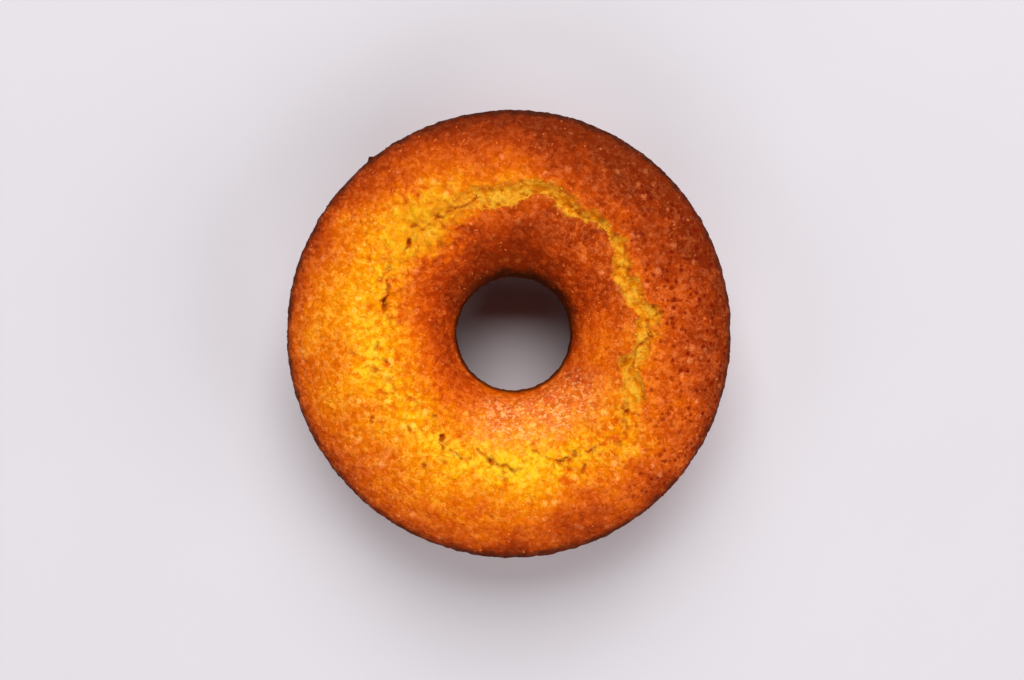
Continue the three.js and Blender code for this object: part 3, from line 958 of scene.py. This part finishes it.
def crust_material(colours):
    """Browned crust that gives way to torn crumb."""
    material, w, shader, place = new_material("baked_crust")
    bake = placed_group(w, browning_group, Place=place, Paler=w.kept("paler"))
    grain = placed_group(w, grain_group, Place=place, Size=1.75 * MM)
    browning = bake["Browning"]
    clear = w.minus(1.0, bake["Char"])
    tone = grain["Tone"]
    torn = w.kept("torn")
    clod = w.kept("clod")
    halo = w.kept("halo")
    doughy = w.kept("doughy")
    x, y, _ = w.parts(place)
    radius = w.hypot(x, y)

    # Painted shade: the crust is painted more orange in the hollows between its clods and lumps, and paler
    # on them
    shade = w.total(
        browning,
        w.product(tone, w.ease(browning, 0.8, 0.35, 0.06, 0.12)),
        w.product(clod, -0.84),
        w.product(w.kept("lump"), -0.5),
        w.product(halo, w.ease(browning, 0.1, 0.5), -0.13),
        w.product(w.kept("inside"), w.ease(radius, 40 * MM, 50 * MM)),
    )
    crust = placed_group(w, tint_group, Browning=shade, Char=bake["Char"])["Color"]

    # Some granules are mealy, with painted glints, and some scorched, least so in smooth dough; pinholes
    # and pores get painted shade, darker still
    calm = w.ease(w.distance(place, CALM_PLACE), CALM_CORE, CALM_REACH, 0.5, 1.0)
    granular = w.product(
        w.blend(doughy, 1.0, 0.5),
        w.span(browning, 0.6, 1.0, 1.0, 0.6),
        w.ease(w.math("ABSOLUTE", y), 55 * MM, 85 * MM, 1.0, 0.68),
        calm,
        clear,
    )
    mealy = w.ramp(browning, (0.2, colours.pale_meal), (0.6, colours.meal))
    scorched = w.ramp(browning, (0.2, colours.pale_scorch), (0.7, colours.scorch))
    hollow_shade = w.ramp(browning, (0.3, colours.pale_scorch), (0.75, colours.scorch))
    meal_and_glint_share = w.most(w.ease(tone, 0.1, -0.6, 0.0, 0.24), w.product(grain["Specks"], 0.7))
    paler = w.product(meal_and_glint_share, w.span(browning, 0.45, 0.9, 1.0, 0.75))
    darker = w.ease(tone, -0.05, 0.55, 0.0, 0.2)
    pocked = w.ease(x, 36 * MM, 70 * MM, 0.24, 0.85)
    # Painted shade in the pinholes and pores
    pit_shade_share = w.product(w.most(grain["Pinholes"], w.kept("pore")), pocked, clear)
    # Smooth dough at the upper left, painted darker as painted shade as well as unbrowned
    crust = w.mix(w.product(doughy, w.ease(browning, 0.5, 0.25), 0.7), crust, colours.dough)
    crust = w.mix(w.product(paler, granular), crust, mealy)
    crust = w.mix(w.product(darker, granular), crust, scorched)
    crust = w.mix(pit_shade_share, crust, hollow_shade)

    # The slope to the hole is glossier on one side, with painted highlight: pale grains painted on as glints
    slope = w.product(w.ease(radius, 56 * MM, 42 * MM), w.ease(radius, 27 * MM, 34 * MM))
    glossy_side = w.facing(w.math("ARCTAN2", y, x), math.radians(GLOSSY_DIRECTION))
    gloss_and_glint = w.product(slope, w.ease(glossy_side, 0.58, 0.98))
    drawn_out = w.vector("MULTIPLY", place, (0.78, 1.0, 1.0))
    glint_pattern = placed_group(w, grain_group, Place=drawn_out, Size=1.0 * MM)
    painted_glint_grains = w.ease(w.total(glint_pattern["Tone"], w.product(glint_pattern["Specks"], 0.4)), -0.05, 0.6)
    redder = w.product(gloss_and_glint, w.ease(w.noise(place, 5 * MM, 2.0), -0.1, 0.35), 0.5)
    crust = w.mix(w.ease(radius, 52 * MM, 38 * MM), crust, colours.ruddy, "MULTIPLY")
    crust = w.mix(redder, crust, colours.flush)
    crust = w.mix(w.product(gloss_and_glint, painted_glint_grains, 0.74), crust, colours.glaze)

    # Painted shade on the crumb: painted paler on its clods, darker and more orange between them, in the
    # trough and towards its outer edge, besides its own patchy tone
    lightness = w.total(
        w.product(w.noise(place, 3.0 * MM, 2.0), 0.6),
        w.product(clod, 0.9),
        w.product(w.kept("trough"), -0.25),
        w.product(tone, 0.5),
        w.product(halo, -0.16),
        0.7,
    )
    crumb = w.ramp(lightness, (0.1, colours.crumb_shade), (0.7, colours.crumb))
    body = w.mix(w.kept("bare"), crust, crumb)
    # Painted shade inside the crevices
    body = w.mix(w.product(w.kept("crack"), 0.85), body, colours.pit)
    strength = w.product(w.blend(torn, 1.0, 0.5), calm)
    finish = {
        "Base Color": body,
        "Roughness": w.total(w.product(tone, 0.15), w.product(torn, 0.25), 0.58),
        "Specular IOR Level": CRUST_SHEEN,
        "Normal": w.bump(grain["Height"], distance=0.31 * MM, strength=strength),
        "Coat Weight": w.product(gloss_and_glint, 0.3),
        "Coat Roughness": 0.15,
        "Coat Normal": w.bump(w.noise(place, 1.3 * MM, 2.0), distance=0.42 * MM),
    }
    w.feed(shader, finish)
    return material


def bit_material(name, colours, paler, mealy):
    """Finish of bits of crust: browned with the crust round them, but this much paler and mealier."""
    material, w, shader, place = new_material(name)
    bake = placed_group(w, browning_group, Place=place, Paler=w.kept("paler"))
    grain = placed_group(w, grain_group, Place=place, Size=0.8 * MM)
    shade = w.total(bake["Browning"], w.product(grain["Tone"], 0.3), -paler)
    tint = placed_group(w, tint_group, Browning=shade, Char=bake["Char"])["Color"]
    finish = {
        "Base Color": w.mix(w.product(w.minus(1.0, bake["Char"]), mealy), tint, colours.meal),
        "Roughness": 0.6,
        "Specular IOR Level": CRUST_SHEEN,
        "Normal": w.bump(grain["Height"], distance=0.15 * MM, strength=0.5),
    }
    w.feed(shader, finish)
    return material


def crumb_material(colours):
    """Finish of loose crumbs: matt yellow, shaded by their grain."""
    material, w, shader, place = new_material("torn_crumb")
    grain = placed_group(w, grain_group, Place=place, Size=1.4 * MM)
    lightness = w.total(w.product(grain["Tone"], 0.5), 0.5)
    tint = w.ramp(lightness, (0.0, colours.crumb_shade), (0.6, colours.crumb))
    w.feed(shader, {"Base Color": tint, "Roughness": 0.85, "Specular IOR Level": 0.1})
    return material


def floor_material(colours):
    """A plain pale surface with the faintest unevenness."""
    material, w, shader, place = new_material("pale_floor")
    lightness = w.total(w.product(w.noise(place, 0.12, 3.0), 0.3), 0.5)
    darker = [channel * 0.97 for channel in colours.floor]
    tint = w.ramp(lightness, (0.2, darker), (0.8, colours.floor))
    w.feed(shader, {"Base Color": tint, "Roughness": 0.55, "Specular IOR Level": 0.2})
    return material


# Operators, one for each piece or group of like pieces

class RINGCAKE_OT_stage(Operator):
    """Add the floor, the lights and the camera"""

    bl_idname = "ringcake.stage"
    bl_label = "Stage"

    def execute(self, context):
        scene = context.scene
        scene.view_settings.view_transform = "Standard"
        mesh = bpy.data.meshes.new("floor")
        corners = [(-1, -1), (1, -1), (1, 1), (-1, 1)]
        points = [(x * FLOOR_REACH, y * FLOOR_REACH, -FLOOR_DROP) for x, y in corners]
        mesh.from_pydata(points, [], [(0, 1, 2, 3)])
        mesh.materials.append(floor_material(scene.ring_cake_colours))
        new_piece("floor", mesh)

        for name, (azimuth, elevation, width, watts) in LIGHTS.items():
            self.add_light(name, math.radians(azimuth), math.radians(elevation), width, watts)
        world = bpy.data.worlds.new("studio")
        world.use_nodes = True
        background = world.node_tree.nodes["Background"]
        background.inputs["Color"].default_value = (1.0, 1.0, 1.0, 1.0)
        background.inputs["Strength"].default_value = WORLD_LIGHT
        scene.world = world

        camera = new_piece("camera", bpy.data.cameras.new("camera"))
        camera.data.sensor_width = CAMERA_SENSOR
        camera.data.lens = CAMERA_LENS
        camera.location = CAMERA_PLACE
        scene.camera = camera
        return {"FINISHED"}

    def add_light(self, name, azimuth, elevation, width, watts):
        """A soft square light that looks at the cake from this direction."""
        light = bpy.data.lights.new(name, "AREA")
        light.size = width
        light.energy = watts
        lamp = new_piece(name, light)
        flat = math.cos(elevation)
        direction = Vector((flat * math.cos(azimuth), flat * math.sin(azimuth), math.sin(elevation)))
        lamp.location = direction * LIGHT_DISTANCE
        lamp.rotation_euler = direction.to_track_quat("Z", "Y").to_euler()


class RINGCAKE_OT_cake(Operator):
    """Add the cake itself, with its split crust"""

    bl_idname = "ringcake.cake"
    bl_label = "Cake"

    def execute(self, context):
        scene = context.scene
        relief = scene.ring_cake_relief
        cake = new_piece(CAKE, skin_mesh(scene.ring_cake_shape, scene.ring_cake_mesh))
        values = {name: getattr(relief, name) for name in own_names(relief)}
        values["material"] = crust_material(scene.ring_cake_colours)
        cake.data = run_tree(relief_tree(relief), cake, values)
        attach(cake, BODY)
        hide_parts(NODE)
        return {"FINISHED"}


def measure_of(mesh, name):
    values = np.empty(len(mesh.vertices))
    mesh.attributes[name].data.foreach_get("value", values)
    return values


def strew(kind, name, weights, material):
    """Strews one kind of bits over the cake, by these weights, as a piece on the cake's body."""
    cake = bpy.data.objects[CAKE]
    keep_on_points(cake.data, name, weights)
    scatter = bpy.context.scene.ring_cake_scatter
    flatness, sunk, seed_step = BITS[kind]
    values = {
        "where": name,
        "density": getattr(scatter, kind + "_density"),
        "half_width": getattr(scatter, kind + "_size"),
        "flatness": flatness,
        "sunk": sunk,
        "seed": scatter.seed + seed_step,
        "material": material,
    }
    mesh = run_tree(bpy.data.node_groups.get("strewn_bits") or scatter_tree(), cake, values)
    mesh.name = name
    piece = new_piece(name, mesh)
    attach(piece, BODY)


class RINGCAKE_OT_meal(Operator):
    """Add the grains of meal that show in the crust"""

    bl_idname = "ringcake.meal"
    bl_label = "Grains of meal"

    def execute(self, context):
        mesh = bpy.data.objects[CAKE].data
        crusted = measure_of(mesh, "top") * (1 - measure_of(mesh, "torn"))
        material = bit_material("meal_in_crust", context.scene.ring_cake_colours, paler=0.08, mealy=0.28)
        strew("meal", "meal_grains", crusted, material)
        return {"FINISHED"}


class RINGCAKE_OT_crumbs(Operator):
    """Add the crumbs that lie in the split"""

    bl_idname = "ringcake.crumbs"
    bl_label = "Crumbs in the split"

    def execute(self, context):
        well_torn = smooth_share(3 * measure_of(bpy.data.objects[CAKE].data, "torn") - 2)
        strew("crumb", "split_crumbs", well_torn, crumb_material(context.scene.ring_cake_colours))
        return {"FINISHED"}


class RINGCAKE_OT_nubs(Operator):
    """Add the small dark nubs along the rim"""

    bl_idname = "ringcake.nubs"
    bl_label = "Nubs on the rim"

    def execute(self, context):
        shape = context.scene.ring_cake_shape
        mesh = bpy.data.objects[CAKE].data
        places = np.empty(len(mesh.vertices) * 3)
        mesh.vertices.foreach_get("co", places)
        x, y, z = places.reshape(-1, 3).T
        near_rim = np.hypot(x, y) > shape.diameter / 2 - NUB_BELT
        above_wall = z > shape.shoulder_height - NUB_DROP
        material = bit_material("rim_crust", context.scene.ring_cake_colours, paler=-0.04, mealy=0.0)
        strew("nub", "rim_nubs", (near_rim & above_wall).astype(float), material)
        return {"FINISHED"}


class RINGCAKE_PT_panel(Panel):
    """Lists the cake's pieces and sizes"""

    bl_idname = "RINGCAKE_PT_panel"
    bl_label = "Ring cake"
    bl_space_type = "VIEW_3D"
    bl_region_type = "UI"
    bl_category = "Ring cake"

    def draw(self, context):
        for operator in OPERATORS:
            self.layout.operator(operator.bl_idname)
        for group_name in GROUPS:
            group = getattr(context.scene, group_name)
            box = self.layout.box()
            box.label(text=group.bl_rna.description)
            for name in own_names(group):
                box.prop(group, name)


GROUPS = {
    "ring_cake_shape": RingCakeShape,
    "ring_cake_mesh": RingCakeMesh,
    "ring_cake_relief": RingCakeRelief,
    "ring_cake_scatter": RingCakeScatter,
    "ring_cake_colours": RingCakeColours,
}
OPERATORS = (
    RINGCAKE_OT_stage,
    RINGCAKE_OT_cake,
    RINGCAKE_OT_meal,
    RINGCAKE_OT_crumbs,
    RINGCAKE_OT_nubs,
)


def register():
    for name, group in GROUPS.items():
        bpy.utils.register_class(group)
        setattr(bpy.types.Scene, name, PointerProperty(type=group))
    for operator in OPERATORS:
        bpy.utils.register_class(operator)
    bpy.utils.register_class(RINGCAKE_PT_panel)


def unregister():
    bpy.utils.unregister_class(RINGCAKE_PT_panel)
    for operator in reversed(OPERATORS):
        bpy.utils.unregister_class(operator)
    for name, group in reversed(GROUPS.items()):
        delattr(bpy.types.Scene, name)
        bpy.utils.unregister_class(group)


def main():
    register()
    bpy.ops.ringcake.stage()
    bpy.ops.ringcake.cake()
    bpy.ops.ringcake.meal()
    bpy.ops.ringcake.crumbs()
    bpy.ops.ringcake.nubs()


if __name__ == "__main__":
    main()
